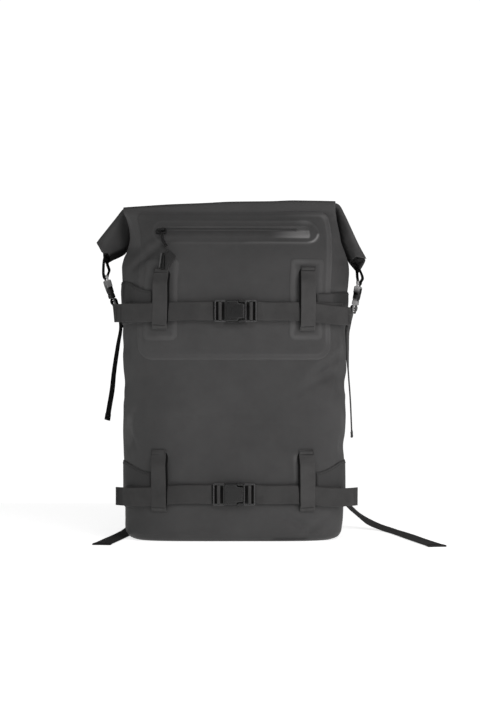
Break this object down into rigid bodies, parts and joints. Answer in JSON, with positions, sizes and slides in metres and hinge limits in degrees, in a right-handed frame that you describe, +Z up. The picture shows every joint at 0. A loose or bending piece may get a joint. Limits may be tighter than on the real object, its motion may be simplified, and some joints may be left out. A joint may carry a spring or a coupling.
{
  "type": "roll-top waterproof backpack",
  "caption": "Roll-top waterproof backpack in matte dark grey coated fabric, with a zipped front pocket, buckled compression straps, side closure straps and shoulder straps.",
  "frame": {"origin": "centre of the flat base, on the surface the bag stands on", "axes": "+Z up, -Y out of the front with the pocket, +X to the right of someone looking at the front"},
  "size_m": [0.4717, 0.2922, 0.4637],
  "materials": {
    "coated_fabric": "matte coated, faintly grained",
    "webbing": "matte woven webbing",
    "moulded_plastic": "satin moulded",
    "pad_fabric": "matte padded",
    "zip": "satin coated zip",
    "pull_cord": "braided cord",
    "pull_tab": "soft moulded tab"
  },
  "bodies": {
    "root": {"bag_shell": "coated_fabric", "roll_top": "coated_fabric", "pocket_panel": "coated_fabric", "loop_patch_left": "coated_fabric", "loop_patch_right": "coated_fabric", "wing_upper_left": "coated_fabric", "wing_upper_right": "coated_fabric", "wing_lower_left": "coated_fabric", "wing_lower_right": "coated_fabric", "strap_upper_left": "webbing", "strap_upper_right": "webbing", "strap_lower_left": "webbing", "strap_lower_right": "webbing", "loop_upper_left": "webbing", "loop_upper_right": "webbing", "loop_lower_left": "webbing", "loop_lower_right": "webbing", "roll_loop_left": "webbing", "roll_loop_right": "webbing", "side_strap_left": "webbing", "side_strap_right": "webbing", "harness_web_left": "webbing", "harness_web_right": "webbing", "buckle_upper_socket": "moulded_plastic", "buckle_upper_plug": "moulded_plastic", "buckle_lower_socket": "moulded_plastic", "buckle_lower_plug": "moulded_plastic", "side_socket_left": "moulded_plastic", "side_socket_right": "moulded_plastic", "side_plug_left": "moulded_plastic", "side_plug_right": "moulded_plastic", "ladder_lock_left": "moulded_plastic", "ladder_lock_right": "moulded_plastic", "shoulder_pad_left": "pad_fabric", "shoulder_pad_right": "pad_fabric", "zip_tape": "zip", "zip_slider": "zip", "zip_pull_cord": "pull_cord", "zip_pull_tab": "pull_tab"}
  },
  "joints": []
}
